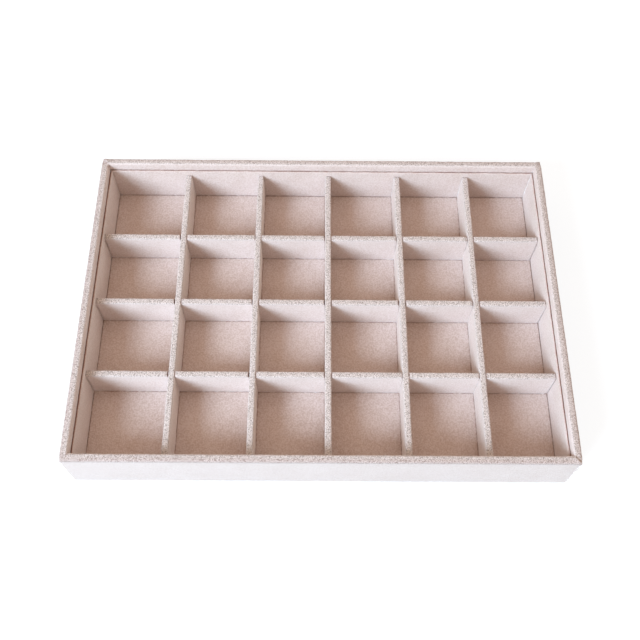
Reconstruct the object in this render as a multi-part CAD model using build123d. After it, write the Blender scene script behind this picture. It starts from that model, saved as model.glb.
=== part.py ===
from build123d import *

import os

# A velvet-covered jewelry tray: a mitred frame of boards wrapped in velvet, a velvet liner and
# floor pad inside it, and a loose grid of half-lapped dividers that makes the compartments.
# Millimetres, +X to the right, +Y to the back, +Z up. The origin is the middle of the underside.

# Outside of the covered tray
tray_length = 350.0
tray_depth = 250.0
tray_height = 45.0
corner_rounding = 1.8
rim_rounding = 1.5

# Frame of boards and the velvet wrapped round it
wall_thickness = 4.0
base_thickness = 2.0
wrap_velvet = 0.8
wrap_turn_in = 16.0
hem_width = 14.0
hem_fold_rounding = 1.2

# Cloth glued under the tray, over the turned-in hem
underside_thickness = 0.6
underside_inset = 3.0

# Liner strips glued round the inside, with their top edge below the rim
liner_card = 0.6
liner_velvet = 0.8
liner_below_rim = 7.4
liner_edge_rounding = 0.5

# Floor pad
floor_card = 0.8
floor_velvet = 0.8

# Dividers: a board with velvet folded over its top edge
divider_board = 3.0
divider_velvet = 0.8
divider_height = 28.0
divider_edge_rounding = 0.9
divider_end_clearance = 0.3

# Half laps where the dividers cross
lap_clearance = 0.3
lap_slack = 0.6

# How far a slot's cut runs past the faces that it opens
cut_overrun = 1.0

# Compartment sizes from left to right and from front to back, divider included, as shares of the
# room inside the liner
column_shares = (0.182, 0.172, 0.161, 0.165, 0.164, 0.156)
row_shares = (0.262, 0.249, 0.240, 0.249)

# Heights of the layers, from the surface that the tray stands on
hem_bottom = underside_thickness
frame_bottom = hem_bottom + wrap_velvet
frame_top = tray_height - wrap_velvet
base_top = frame_bottom + base_thickness
floor_bottom = base_top + floor_card
floor_top = floor_bottom + floor_velvet
liner_top = tray_height - liner_below_rim
divider_top = floor_top + divider_height
lap_level = floor_top + divider_height / 2

# Faces of the layers, as distances in from the outside of the tray
wall_outer_in = wrap_velvet
wall_inner_in = wall_outer_in + wall_thickness
rim_inner_in = wall_inner_in + wrap_velvet
liner_card_in = rim_inner_in + liner_card
liner_face_in = liner_card_in + liner_velvet

# Room inside the liner
room_length = tray_length - 2 * liner_face_in
room_depth = tray_depth - 2 * liner_face_in
divider_thickness = divider_board + 2 * divider_velvet


def slab(length, depth, bottom, top, middle=(0, 0)):
    """A plain block between two heights, centred on a point of the plan."""
    x, y = middle
    return Pos(x, y, (bottom + top) / 2) * Box(length, depth, top - bottom)


def inset_slab(inset, bottom, top):
    """A block between two heights whose sides lie one inset in from the tray's outside."""
    return slab(tray_length - 2 * inset, tray_depth - 2 * inset, bottom, top)


def inset_ring(outer_inset, inner_inset, bottom, top):
    """What lies between two insets, as a rectangular ring."""
    return inset_slab(outer_inset, bottom, top) - inset_slab(inner_inset, bottom, top)


def turned(piece, quarter_turns):
    """The piece turned about the tray's middle by quarter turns, seen from above."""
    return Rot(0, 0, 90 * quarter_turns) * piece


def wall(run, across):
    """A mitred wall board along X, at the front, for a tray of this run and this size across."""
    outer_end = run / 2 - wall_outer_in
    inner_end = run / 2 - wall_inner_in
    outer_face = wall_outer_in - across / 2
    inner_face = wall_inner_in - across / 2
    outline = Polyline(
        (-outer_end, outer_face),
        (outer_end, outer_face),
        (inner_end, inner_face),
        (-inner_end, inner_face),
        close=True,
    )
    return Pos(0, 0, frame_bottom) * extrude(make_face(outline), frame_top - frame_bottom)


def outer_wrap():
    """One strip of velvet: hem under the base, outside, over the rim and down inside."""
    form = inset_slab(0, hem_bottom, tray_height)
    form = fillet(form.edges().filter_by(Axis.Z), corner_rounding)
    form = fillet(form.edges().group_by(Axis.Z)[-1], rim_rounding)
    form = fillet(form.edges().group_by(Axis.Z)[0], hem_fold_rounding)
    form -= inset_slab(rim_inner_in, frame_bottom, tray_height)
    form -= inset_slab(hem_width, hem_bottom, frame_bottom)
    rim_edges = form.edges().group_by(Axis.Z)[-1].filter_by(inside_the_boards)
    form = fillet(rim_edges, rim_rounding)
    boards = inset_ring(wall_outer_in, wall_inner_in, frame_bottom, frame_top)
    below_turn_in = inset_slab(wall_inner_in, frame_bottom, tray_height - wrap_turn_in)
    return form - boards - below_turn_in


def inside_the_boards(edge):
    """True for an edge of the rim that lies on its inner side."""
    middle = edge.center()
    within_length = abs(middle.X) < tray_length / 2 - wall_inner_in
    within_depth = abs(middle.Y) < tray_depth / 2 - wall_inner_in
    return within_length and within_depth


def underside_cloth():
    """A cloth that lies over the hem and steps up against the base board inside it."""
    cloth = inset_slab(underside_inset, 0, frame_bottom)
    cloth -= inset_ring(underside_inset, hem_width, hem_bottom, frame_bottom)
    return cloth - inset_slab(hem_width + underside_thickness, 0, frame_bottom - underside_thickness)


def liner_strip(run, across, shortened):
    """The card and the velvet of a liner strip along X, at the front."""
    length = run - 2 * (rim_inner_in + shortened)
    back = rim_inner_in - across / 2
    card_front = liner_card_in - across / 2
    velvet_front = liner_face_in - across / 2
    card_top = liner_top - liner_velvet
    card = slab(length, liner_card, base_top, card_top, (0, (back + card_front) / 2))
    whole = slab(length, liner_card + liner_velvet, base_top, liner_top, (0, (back + velvet_front) / 2))
    top_edges = whole.edges().group_by(Axis.Z)[-1].filter_by(Axis.X)
    velvet = fillet(top_edges, liner_edge_rounding) - card
    return card, velvet


def floor_pad():
    """The card and the velvet that cover the base board between the liner strips."""
    card = inset_slab(liner_face_in, base_top, floor_bottom)
    velvet = inset_slab(liner_face_in, floor_bottom, floor_top)
    return card, velvet


def divider(run, slots):
    """The board and the folded velvet of a divider along X, centred on the plan's middle."""
    board_top = divider_top - divider_velvet
    board = slab(run, divider_board, floor_top, board_top)
    whole = slab(run, divider_thickness, floor_top, divider_top)
    top_edges = whole.edges().group_by(Axis.Z)[-1].filter_by(Axis.X)
    velvet = fillet(top_edges, divider_edge_rounding) - board
    for slot in slots:
        board -= slot
        velvet -= slot
    return board, velvet


def places(shares, room):
    """Middle lines of the dividers that part a room by these shares."""
    lines = []
    place = -room / 2
    for share in shares[:-1]:
        place += share * room
        lines.append(place)
    return lines


def upper_slots(lines):
    """Slots open at the top, each with its slack on the left side."""
    width = divider_thickness + 2 * lap_clearance + lap_slack
    through = divider_thickness + 2 * cut_overrun
    top = divider_top + cut_overrun
    return [slab(width, through, lap_level, top, (line - lap_slack / 2, 0)) for line in lines]


def lower_slots(lines):
    """Slots open at the bottom, a clearance higher than the crossing divider's web."""
    width = divider_thickness + 2 * lap_clearance
    through = divider_thickness + 2 * cut_overrun
    top = lap_level + lap_clearance
    return [slab(width, through, floor_top - cut_overrun, top, (line, 0)) for line in lines]


def walls_and_liner():
    """The four mitred walls and the four liner strips, each side by its name."""
    pieces = {}
    sides = {"front": 0, "right": 1, "back": 2, "left": 3}
    for side, turns in sides.items():
        along_x = turns % 2 == 0
        run, across = (tray_length, tray_depth) if along_x else (tray_depth, tray_length)
        shortened = 0 if along_x else liner_card + liner_velvet
        card, velvet = liner_strip(run, across, shortened)
        pieces[f"{side}_wall"] = turned(wall(run, across), turns)
        pieces[f"liner_card_{side}"] = turned(card, turns)
        pieces[f"liner_velvet_{side}"] = turned(velvet, turns)
    return pieces


def long_dividers():
    """The dividers that run from left to right, front one first, slotted from the top."""
    pieces = {}
    slots = upper_slots(places(column_shares, room_length))
    for number, line in enumerate(places(row_shares, room_depth), start=1):
        board, velvet = divider(room_length - 2 * divider_end_clearance, slots)
        pieces[f"long_divider_{number}_board"] = Pos(0, line, 0) * board
        pieces[f"long_divider_{number}_velvet"] = Pos(0, line, 0) * velvet
    return pieces


def cross_dividers():
    """The dividers that run from front to back, left one first, slotted from below."""
    pieces = {}
    slots = lower_slots(places(row_shares, room_depth))
    for number, line in enumerate(places(column_shares, room_length), start=1):
        board, velvet = divider(room_depth - 2 * divider_end_clearance, slots)
        pieces[f"cross_divider_{number}_board"] = Pos(line, 0, 0) * turned(board, 1)
        pieces[f"cross_divider_{number}_velvet"] = Pos(line, 0, 0) * turned(velvet, 1)
    return pieces


def tray_pieces():
    """Every piece of the tray by its name."""
    pad_card, pad_velvet = floor_pad()
    pieces = walls_and_liner()
    pieces["base_board"] = inset_slab(wall_inner_in, frame_bottom, base_top)
    pieces["outer_wrap"] = outer_wrap()
    pieces["underside_cloth"] = underside_cloth()
    pieces["floor_card"] = pad_card
    pieces["floor_velvet"] = pad_velvet
    pieces.update(long_dividers())
    pieces.update(cross_dividers())
    return pieces


os.makedirs("parts", exist_ok=True)
for name, piece in tray_pieces().items():
    export_step(piece, f"parts/{name}.step")
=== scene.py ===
"""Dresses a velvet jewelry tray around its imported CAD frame.

The tray is a mitred frame of boards wrapped in one strip of velvet, with a velvet liner, a velvet
floor pad and a loose grid of half-lapped dividers. Every velvet is an open surface that bmesh
operators shape, that its pile and its folds move a little, and that gets its thickness inwards.
Metres, in the frame's own directions: +X to the right, +Y to the back, +Z up.
"""

import logging
import math
from abc import ABC, abstractmethod
from dataclasses import dataclass
from enum import Enum
from typing import Callable, Sequence

import bmesh
import bpy
from mathutils import Matrix, Vector, noise


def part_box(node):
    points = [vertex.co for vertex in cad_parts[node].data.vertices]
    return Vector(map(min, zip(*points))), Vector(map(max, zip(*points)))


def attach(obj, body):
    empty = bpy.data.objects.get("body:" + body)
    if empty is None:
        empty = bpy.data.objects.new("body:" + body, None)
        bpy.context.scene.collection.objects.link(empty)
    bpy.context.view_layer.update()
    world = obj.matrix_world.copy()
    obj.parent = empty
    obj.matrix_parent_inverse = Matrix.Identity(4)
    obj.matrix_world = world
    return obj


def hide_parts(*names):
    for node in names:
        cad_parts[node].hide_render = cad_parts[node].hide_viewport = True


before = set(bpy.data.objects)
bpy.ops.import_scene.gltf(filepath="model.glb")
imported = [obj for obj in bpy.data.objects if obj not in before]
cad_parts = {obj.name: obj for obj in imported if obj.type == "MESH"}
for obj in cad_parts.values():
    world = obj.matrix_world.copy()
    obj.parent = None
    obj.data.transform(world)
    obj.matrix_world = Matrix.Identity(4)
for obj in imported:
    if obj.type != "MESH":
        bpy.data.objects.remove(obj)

log = logging.getLogger("jewelry_tray")

MM = 0.001
PHOTO_PIXELS = 640
NEARLY_ZERO = 1e-6

# A face looks a way when its normal has more than FACING in that direction. It is level from LEVEL
# on, and upright below UPRIGHT. An edge is sharp when it turns by more than SHARP, in radians
FACING = 0.5
LEVEL = 0.99
UPRIGHT = 0.1
SHARP = 1.0

# How much of a broken line shows on average, and how much that changes along it
DASH_LEVEL = 0.85
DASH_CONTRAST = 1.5

# How many times wider the seam is at the left, where the liner stands off the wrap
LEFT_SEAM = 2.0

# Shifts that keep noises of one size from rising and falling together
FINE_SHIFT = Vector((7.0, 3.0, 5.0))
WAVE_SHIFT = Vector((3.0, 1.0, 0.0))
SWELL_SHIFT = Vector((0.0, 5.0, 2.0))

Colour = tuple[float, float, float, float]
FaceTest = Callable[[Vector, Vector], bool]
EdgeTest = Callable[[bmesh.types.BMEdge], bool]


class Axis(Enum):
    """A direction of the frame, by its place in a vector."""

    X = 0
    Y = 1
    Z = 2

    @property
    def unit(self) -> Vector:
        """The unit vector of this direction."""
        return Vector([float(self.value == place) for place in range(3)])

    @property
    def across(self) -> "Axis":
        """The other level direction, of X or Y."""
        return Axis.Y if self is Axis.X else Axis.X


class Side(Enum):
    """A side of the tray, with the direction that its wall runs in and the sign of its place."""

    FRONT = ("front", Axis.X, -1)
    RIGHT = ("right", Axis.Y, 1)
    BACK = ("back", Axis.X, 1)
    LEFT = ("left", Axis.Y, -1)

    def __init__(self, word: str, along: Axis, sign: int) -> None:
        """Keeps what the side is known by.

        Args:
            word: its word in the names of nodes.
            along: the direction that its wall runs in.
            sign: the sign of its place, seen from the tray's middle.
        """
        self.word = word
        self.along = along
        self.sign = sign


def eased(share: float) -> float:
    """A share from 0 to 1, flattened at both ends, and held there outside them."""
    held = min(max(share, 0.0), 1.0)
    return held * held * (3.0 - 2.0 * held)


def near(distance: float, reach: float) -> float:
    """How strongly a feature acts at a distance: 1 on it, 0 from its reach on."""
    return 1.0 - eased(abs(distance) / reach)


def broken(place: Vector, size: float) -> float:
    """How much of a line shows at a point, from 0 to 1, in stretches of a size."""
    return eased(DASH_LEVEL + DASH_CONTRAST * noise.noise(place / size))


def leader(places: list[int], place: int) -> int:
    """Finds the first of the group that a place belongs to, and shortens the way there.

    Args:
        places: for every place, one of its group that is nearer to the first.
        place: the place.

    Returns:
        The first place of its group.
    """
    while places[place] != place:
        places[place] = places[places[place]]
        place = places[place]
    return place


def add_object(name: str, data: bpy.types.ID) -> bpy.types.Object:
    """Adds an object to the scene, at the origin.

    Args:
        name: the object's name.
        data: its mesh, light or camera.

    Returns:
        The object.
    """
    made = bpy.data.objects.new(name, data)
    bpy.context.scene.collection.objects.link(made)
    return made


@dataclass(frozen=True)
class Pile:
    """How far the pile and the cloth under it stand off their smooth surface.

    Attributes:
        tuft_height: rise and fall of the clumps of fibres.
        tuft_size: size of a clump.
        fine_share: share of the tuft height at half the tuft size.
        sway_height: rise and fall of the cloth itself.
        sway_size: length of its swells.
    """

    tuft_height: float = 0.10 * MM
    tuft_size: float = 2.2 * MM
    fine_share: float = 0.6
    sway_height: float = 0.10 * MM
    sway_size: float = 22.0 * MM

    def rise(self, place: Vector) -> float:
        """The height of the pile over its smooth surface.

        Args:
            place: a point of the smooth surface.

        Returns:
            The height, below zero where the pile lies flat.
        """
        tufts = noise.noise(place / self.tuft_size)
        fine = noise.noise(place * 2.0 / self.tuft_size + FINE_SHIFT)
        sway = noise.noise(place / self.sway_size)
        return self.tuft_height * (tufts + self.fine_share * fine) + self.sway_height * sway


class Cloth:
    """The outer surface of a piece of cloth, shaped by bmesh operators."""

    def __init__(self, low: Vector, high: Vector) -> None:
        """Starts from a block.

        Args:
            low: its lowest corner.
            high: its highest corner.
        """
        self.mesh = bmesh.new()
        middle = Matrix.Translation((low + high) / 2)
        size = Matrix.Diagonal((high - low).to_4d())
        size[3][3] = 1.0
        bmesh.ops.create_cube(self.mesh, size=1.0, matrix=middle @ size)

    def drop(self, unwanted: FaceTest) -> None:
        """Deletes faces.

        Args:
            unwanted: says of a face's middle and normal whether the face goes.
        """
        self.mesh.normal_update()
        faces = [f for f in self.mesh.faces if unwanted(f.calc_center_median(), f.normal)]
        bmesh.ops.delete(self.mesh, geom=faces, context="FACES")

    def leave_strip(self, along: Axis) -> None:
        """Deletes the underside and the ends of a block that runs along a direction."""
        self.drop(lambda middle, normal: normal.z < -FACING or abs(normal[along.value]) > FACING)

    def cut(self, axis: Axis, places: Sequence[float], wanted: FaceTest | None = None) -> None:
        """Cuts edges into the surface at places along a direction.

        Args:
            axis: the direction that the cutting planes face.
            places: where they lie.
            wanted: says of a face's middle and normal whether it is cut; all are without it.
        """
        for place in places:
            faces = [f for f in self.mesh.faces
                     if wanted is None or wanted(f.calc_center_median(), f.normal)]
            edges = dict.fromkeys(e for f in faces for e in f.edges)
            verts = dict.fromkeys(v for f in faces for v in f.verts)
            bmesh.ops.bisect_plane(
                self.mesh, geom=[*verts, *edges, *faces], dist=NEARLY_ZERO,
                plane_co=axis.unit * place, plane_no=axis.unit)

    def cut_both(self, axis: Axis, places: Sequence[float],
                 wanted: FaceTest | None = None) -> None:
        """Cuts edges at places along a direction, and as far on the other side of the middle."""
        self.cut(axis, [sign * place for place in places for sign in (-1, 1)], wanted)

    def round_edges(self, radius: float, segments: int, wanted: EdgeTest) -> None:
        """Rounds edges.

        Args:
            radius: the rounding's radius.
            segments: the number of faces across it.
            wanted: says of an edge whether it is rounded.
        """
        self.mesh.normal_update()
        edges = [e for e in self.mesh.edges if wanted(e)]
        bmesh.ops.bevel(
            self.mesh, geom=edges, offset=radius, offset_type="OFFSET", segments=segments,
            profile=0.5, affect="EDGES", material=-1)

    def divide(self, steps: Callable[[Axis, float], float]) -> None:
        """Divides the surface into small faces, ladder by ladder, so that all stay quads.

        Args:
            steps: the size of face for a direction and the length of what is divided.
        """
        for axis in Axis:
            by_cuts: dict[int, list[bmesh.types.BMEdge]] = {}
            for ladder in self.ladders():
                longest = max(ladder, key=lambda e: e.calc_length())
                along = longest.verts[1].co - longest.verts[0].co
                if max(range(3), key=lambda place: abs(along[place])) != axis.value:
                    continue
                cuts = round(along.length / steps(axis, along.length)) - 1
                if cuts > 0:
                    by_cuts.setdefault(cuts, []).extend(ladder)
            for cuts, edges in sorted(by_cuts.items()):
                bmesh.ops.subdivide_edges(self.mesh, edges=edges, cuts=cuts, use_grid_fill=True)

    def ladders(self) -> list[list[bmesh.types.BMEdge]]:
        """Groups the edges that face each other across quads.

        Returns:
            The groups, each a list of its edges.
        """
        self.mesh.edges.index_update()
        edges = list(self.mesh.edges)
        places = list(range(len(edges)))
        for face in self.mesh.faces:
            if len(face.edges) == 4:
                around = [e.index for e in face.edges]
                for one, other in ((around[0], around[2]), (around[1], around[3])):
                    places[leader(places, one)] = leader(places, other)
        groups: dict[int, list[bmesh.types.BMEdge]] = {}
        for place, edge in enumerate(edges):
            groups.setdefault(leader(places, place), []).append(edge)
        return list(groups.values())

    def move(self, moved: Callable[[Vector, Vector], Vector]) -> None:
        """Moves every point of the surface.

        Args:
            moved: how far a point goes, from its place and its normal.
        """
        self.mesh.normal_update()
        steps = [moved(v.co.copy(), v.normal.copy()) for v in self.mesh.verts]
        for vert, step in zip(self.mesh.verts, steps):
            vert.co += step

    def paint(self, word: str, amount: Callable[[Vector, Vector], float]) -> None:
        """Keeps a number from 0 to 1 with every point, for the finish to use.

        Args:
            word: the number's name.
            amount: the number, from a point's place and its normal.
        """
        self.mesh.normal_update()
        layer = self.mesh.verts.layers.float.new(word)
        for vert in self.mesh.verts:
            vert[layer] = amount(vert.co, vert.normal)

    def extend(self, level: float, step: Vector) -> None:
        """Extrudes the open edges at a height and turns all faces the same way again.

        Args:
            level: the height.
            step: how far the edges' copies go.
        """
        edges = [e for e in self.mesh.edges if e.is_boundary
                 and all(abs(v.co.z - level) < NEARLY_ZERO for v in e.verts)]
        large = max(self.mesh.faces, key=lambda f: f.calc_area())
        normal = large.normal.copy()
        made = bmesh.ops.extrude_edge_only(self.mesh, edges=edges)
        verts = [g for g in made["geom"] if isinstance(g, bmesh.types.BMVert)]
        bmesh.ops.translate(self.mesh, verts=verts, vec=step)
        bmesh.ops.recalc_face_normals(self.mesh, faces=self.mesh.faces)
        if large.normal.dot(normal) < 0:
            bmesh.ops.reverse_faces(self.mesh, faces=self.mesh.faces)

    def finish(self, name: str, thickness: float, finish: bpy.types.Material) -> bpy.types.Object:
        """Makes the surface a piece of the scene with a thickness inwards.

        Args:
            name: the piece's name.
            thickness: the cloth's thickness.
            finish: its material.

        Returns:
            The new object, at the origin.
        """
        bmesh.ops.remove_doubles(self.mesh, verts=self.mesh.verts, dist=NEARLY_ZERO)
        for face in self.mesh.faces:
            face.smooth = True
        data = bpy.data.meshes.new(name)
        self.mesh.to_mesh(data)
        self.mesh.free()
        data.materials.append(finish)
        piece = add_object(name, data)
        shell = piece.modifiers.new("cloth_thickness", "SOLIDIFY")
        shell.thickness = thickness
        shell.offset = -1.0
        shell.use_quality_normals = True
        return piece


class ClothPiece(ABC):
    """A piece of cloth: how it is cut out, how its pile lies, where shade and light are painted on
    it and how its points are moved.

    Attributes:
        name: the piece's name.
        thickness: thickness of the cloth.
    """

    name: str
    thickness: float

    @abstractmethod
    def cut_out(self) -> Cloth:
        """The smooth surface, divided and ready to be moved."""

    @abstractmethod
    def moved(self, place: Vector, normal: Vector) -> Vector:
        """How far the pile, the folds and the glue move a point of that surface."""

    def painted_shade(self, place: Vector, normal: Vector) -> float:
        """How much shade is painted at a point, from 0 to 1; none on most cloth."""
        return 0.0

    def ruffled_and_lit(self, place: Vector, normal: Vector) -> float:
        """How much the pile ruffles at a point and takes the painted lit tint, from 0 to 1; not at
        all on most cloth.
        """
        return 0.0

    def build(self, finish: bpy.types.Material) -> bpy.types.Object:
        """Makes the piece.

        Args:
            finish: its material.

        Returns:
            The new piece.
        """
        cloth = self.cut_out()
        cloth.paint("painted_shade", self.painted_shade)
        cloth.paint("ruffled_and_lit", self.ruffled_and_lit)
        cloth.move(self.moved)
        return cloth.finish(self.name, self.thickness, finish)


class Wiring:
    """Nodes of one tree, added and joined in few words."""

    def __init__(self, tree: bpy.types.NodeTree) -> None:
        """Takes the tree and empties it."""
        self.tree = tree
        tree.nodes.clear()

    def add(self, kind: str, settings: dict[str, object] | None = None,
            **sockets: object) -> bpy.types.Node:
        """Adds a node.

        Args:
            kind: the node's type in Blender.
            settings: its own properties.
            sockets: values or output sockets for its inputs, with _ for a space in their names
                and in_0, in_1 and so on for inputs without names of their own.

        Returns:
            The new node.
        """
        node = self.tree.nodes.new(kind)
        for name, value in (settings or {}).items():
            setattr(node, name, value)
        for name, value in sockets.items():
            key = int(name[3:]) if name.startswith("in_") else name.replace("_", " ")
            socket = node.inputs[key]
            if isinstance(value, bpy.types.NodeSocket):
                self.tree.links.new(value, socket)
            else:
                socket.default_value = value
        return node

    def group(self, made: bpy.types.NodeTree, **sockets: object) -> bpy.types.Node:
        """Adds a node group with its inputs."""
        return self.add("ShaderNodeGroup", {"node_tree": made}, **sockets)

    def math(self, operation: str, *values: object) -> bpy.types.NodeSocket:
        """Adds a Math node and gives its output."""
        sockets = {f"in_{place}": value for place, value in enumerate(values)}
        return self.add("ShaderNodeMath", {"operation": operation}, **sockets).outputs[0]

    def mixed(self, share: object, one: object, other: object) -> bpy.types.NodeSocket:
        """Adds a Mix node for two colours and gives its output."""
        node = self.add("ShaderNodeMix", {"data_type": "RGBA"}, in_0=share, in_6=one, in_7=other)
        return node.outputs[2]

    def attribute(self, word: str) -> bpy.types.NodeSocket:
        """Adds an Attribute node and gives its number."""
        return self.add("ShaderNodeAttribute", {"attribute_name": word}).outputs["Fac"]

    def below(self, value: object, limits: tuple[float, float]) -> bpy.types.NodeSocket:
        """Adds a Map Range node that falls from 1 to 0 between two limits, and gives its output."""
        return self.add("ShaderNodeMapRange", Value=value, From_Min=limits[0], From_Max=limits[1],
                        To_Min=1.0, To_Max=0.0).outputs[0]


def new_material(name: str) -> tuple[bpy.types.Material, Wiring]:
    """Starts a material.

    Args:
        name: its name.

    Returns:
        The material and the wiring of its emptied tree.
    """
    material = bpy.data.materials.new(name)
    material.use_nodes = True
    return material, Wiring(material.node_tree)


def new_group(name: str, numbers: dict[str, float], outputs: Sequence[str]) -> Wiring:
    """Starts a shader node group with a place input, number inputs and number outputs.

    Args:
        name: the group's name.
        numbers: its number inputs, with what they are by default.
        outputs: its outputs' names.

    Returns:
        The wiring of the group.
    """
    tree = bpy.data.node_groups.new(name, "ShaderNodeTree")
    wiring = Wiring(tree)
    tree.interface.new_socket("Place", in_out="INPUT", socket_type="NodeSocketVector")
    for word, value in numbers.items():
        made = tree.interface.new_socket(word, in_out="INPUT", socket_type="NodeSocketFloat")
        made.default_value = value
    for word in outputs:
        tree.interface.new_socket(word, in_out="OUTPUT", socket_type="NodeSocketFloat")
    return wiring


class SharedEffects:
    """The effects that more than one finish uses, each built once as a node group.

    Attributes:
        clump_share: how much of a tuft's height comes from clumps of any form; domes give the rest.
        root_heights: the tuft heights between which the roots go out of sight.
        speck_heights: the same for bare specks.
    """

    clump_share: float = 0.65
    root_heights: tuple[float, float] = (0.40, 0.62)
    speck_heights: tuple[float, float] = (0.39, 0.58)

    def __init__(self) -> None:
        """Builds the groups."""
        self.tufts = self.tuft_group()
        self.patches = self.patch_group()
        self.fibres = self.fibre_group()

    def tuft_group(self) -> bpy.types.NodeTree:
        """Clumps of pile.

        Returns:
            The group, which gives their height, how much of their roots shows, and bare specks.
        """
        wiring = new_group("pile_tufts", {"Size": MM}, ("Height", "Roots", "Specks"))
        given = wiring.add("NodeGroupInput")
        scale = wiring.math("DIVIDE", 1.0, given.outputs["Size"])
        clumps = wiring.add("ShaderNodeTexNoise", Vector=given.outputs["Place"], Scale=scale,
                            Detail=3.0, Roughness=0.62)
        cells = wiring.add("ShaderNodeTexVoronoi", {"feature": "SMOOTH_F1"},
                           Vector=given.outputs["Place"], Scale=scale, Smoothness=0.5)
        domed = wiring.math("SUBTRACT", 1.0, cells.outputs["Distance"])
        height = wiring.math("ADD", wiring.math("MULTIPLY", clumps.outputs[0], self.clump_share),
                             wiring.math("MULTIPLY", domed, 1.0 - self.clump_share))
        wiring.add("NodeGroupOutput", Height=height, Roots=wiring.below(height, self.root_heights),
                   Specks=wiring.below(height, self.speck_heights))
        return wiring.tree

    @staticmethod
    def patch_group() -> bpy.types.NodeTree:
        """Soft patches, as a hand leaves on a nap.

        Returns:
            The group, which gives how light or dark a patch is, below or over zero.
        """
        wiring = new_group("nap_patches", {"Size": 20 * MM, "Strength": 1.0}, ("Patch",))
        given = wiring.add("NodeGroupInput")
        scale = wiring.math("DIVIDE", 1.0, given.outputs["Size"])
        patches = wiring.add("ShaderNodeTexNoise", Vector=given.outputs["Place"], Scale=scale,
                             Detail=2.0, Roughness=0.5, Distortion=0.4)
        centred = wiring.math("SUBTRACT", patches.outputs[0], 0.5)
        wiring.add("NodeGroupOutput",
                   Patch=wiring.math("MULTIPLY", centred, given.outputs["Strength"]))
        return wiring.tree

    @staticmethod
    def fibre_group() -> bpy.types.NodeTree:
        """Short pressed fibres and flecks, as in board and card.

        Returns:
            The group, which gives the fibres and a mask of the flecks.
        """
        wiring = new_group("pressed_fibres", {"Size": MM, "Flecks": 0.1}, ("Fibre", "Fleck"))
        given = wiring.add("NodeGroupInput")
        scale = wiring.math("DIVIDE", 1.0, given.outputs["Size"])
        longer = wiring.add("ShaderNodeMapping", Vector=given.outputs["Place"],
                            Scale=(1.0, 1.0, 2.6))
        fibre = wiring.add("ShaderNodeTexNoise", Vector=longer.outputs[0], Scale=scale,
                           Detail=5.0, Roughness=0.7, Distortion=0.6)
        spots = wiring.add("ShaderNodeTexVoronoi", Vector=given.outputs["Place"], Scale=scale)
        fleck = wiring.math("LESS_THAN", spots.outputs["Distance"], given.outputs["Flecks"])
        wiring.add("NodeGroupOutput", Fibre=fibre.outputs[0], Fleck=fleck)
        return wiring.tree


@dataclass(frozen=True)
class PileFinish:
    """A cloth with a pile: dark roots between light tips, a sheen along its edges, painted shade in
    its seams and creases, and a painted lit tint where its pile ruffles.

    Attributes:
        name: the material's name.
        tips: colour of the tips.
        roots: colour between the tips.
        shade_colour: colour of the painted shade, in seams, creases, feet, grooves and cuts.
        tuft_size: size of the tufts.
        root_share: how much of the roots' colour shows between tufts.
        lit_stood: colour of the tips where the pile ruffles, painted cooler and lighter for the
            light on rims, tops and the outside.
        specks: colour between the clumps there.
        clump_size: size of those clumps.
        patch_size: size of the nap's patches.
        patch_strength: how much they change the colour.
        relief: how far the tufts stand up.
        sheen: weight of the sheen.
    """

    name: str = "blush_velvet"
    tips: Colour = (0.70, 0.60, 0.578, 1.0)
    roots: Colour = (0.42, 0.28, 0.22, 1.0)
    shade_colour: Colour = (0.18, 0.03, 0.005, 1.0)
    tuft_size: float = 1.1 * MM
    root_share: float = 0.35
    lit_stood: Colour = (0.715, 0.635, 0.625, 1.0)
    specks: Colour = (0.30, 0.25, 0.23, 1.0)
    clump_size: float = 0.65 * MM
    patch_size: float = 24.0 * MM
    patch_strength: float = 0.5
    relief: float = 0.35 * MM
    sheen: float = 1.0

    def build(self, effects: SharedEffects) -> bpy.types.Material:
        """Makes the material.

        Args:
            effects: the shared node groups.

        Returns:
            The material.
        """
        material, wiring = new_material(self.name)
        place = wiring.add("ShaderNodeTexCoord").outputs["Object"]
        tufts = wiring.group(effects.tufts, Place=place, Size=self.tuft_size)
        clumps = wiring.group(effects.tufts, Place=place, Size=self.clump_size)
        patches = wiring.group(effects.patches, Place=place, Size=self.patch_size,
                               Strength=self.patch_strength)
        painted_shade, ruffled_and_lit = wiring.attribute("painted_shade"), wiring.attribute("ruffled_and_lit")

        share = wiring.math("MULTIPLY_ADD", tufts.outputs["Roots"], self.root_share,
                            patches.outputs["Patch"])
        held = wiring.add("ShaderNodeClamp", Value=share).outputs[0]
        smooth = wiring.mixed(held, self.tips, self.roots)
        # Painted light: where the pile ruffles, the tips take the cooler, lighter colour of the
        # light that rims, tops and the outside catch; the dark specks between clumps are the pile's
        # own grain.
        bare = wiring.math("MULTIPLY", clumps.outputs["Specks"], ruffled_and_lit)
        lit_standing = wiring.mixed(bare, self.lit_stood, self.specks)
        # Painted shade: the shade colour is mixed in as far as each point's painted shade says.
        colour = wiring.mixed(painted_shade, wiring.mixed(ruffled_and_lit, smooth, lit_standing), self.shade_colour)

        height = wiring.math("MULTIPLY_ADD", clumps.outputs["Height"], ruffled_and_lit,
                             tufts.outputs["Height"])
        bump = wiring.add("ShaderNodeBump", Strength=1.0, Distance=self.relief, Height=height)
        shader = wiring.add(
            "ShaderNodeBsdfPrincipled", Base_Color=colour, Roughness=0.95,
            Specular_IOR_Level=0.15, Sheen_Weight=self.sheen, Sheen_Roughness=0.38,
            Sheen_Tint=(1.0, 0.96, 0.95, 1.0), Normal=bump.outputs[0])
        wiring.add("ShaderNodeOutputMaterial", Surface=shader.outputs[0])
        return material


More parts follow.
